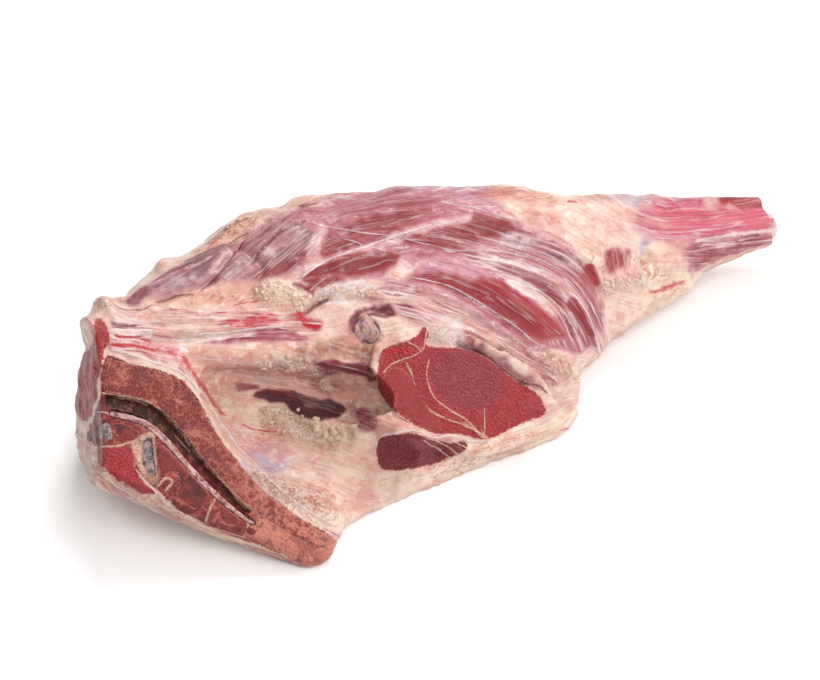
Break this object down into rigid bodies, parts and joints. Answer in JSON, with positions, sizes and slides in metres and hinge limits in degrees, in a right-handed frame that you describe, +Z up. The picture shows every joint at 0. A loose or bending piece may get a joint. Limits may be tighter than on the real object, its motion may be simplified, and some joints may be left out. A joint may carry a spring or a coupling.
{
  "type": "raw leg of lamb",
  "caption": "Raw whole leg of lamb with the chump and shank on, lying on its outer side, with a sawn sacrum and aitch bone, an open pelvic hollow and a bare shank bone.",
  "frame": {"origin": "the middle of the bounding box, on the surface that the leg lies on", "axes": "+Z up, +X along the leg towards the shank, -Y towards the side that the saw cut faces"},
  "size_m": [0.48, 0.246, 0.1102],
  "materials": {
    "meat": "moist raw red muscle under pale fat and silvery membrane",
    "bone": "moist red sawn bone with a pale rim",
    "cartilage": "glossy grey cartilage",
    "cord": "moist off-white"
  },
  "bodies": {
    "root": {"meat": "meat", "sacrum": "bone", "aitch_bone": "bone", "spine_1": "bone", "spine_2": "bone", "spine_3": "bone", "spine_4": "bone", "shank_bone": "bone", "cartilage_1": "cartilage", "cartilage_2": "cartilage", "aitch_cartilage": "cartilage", "spinal_cord": "cord"}
  },
  "joints": []
}
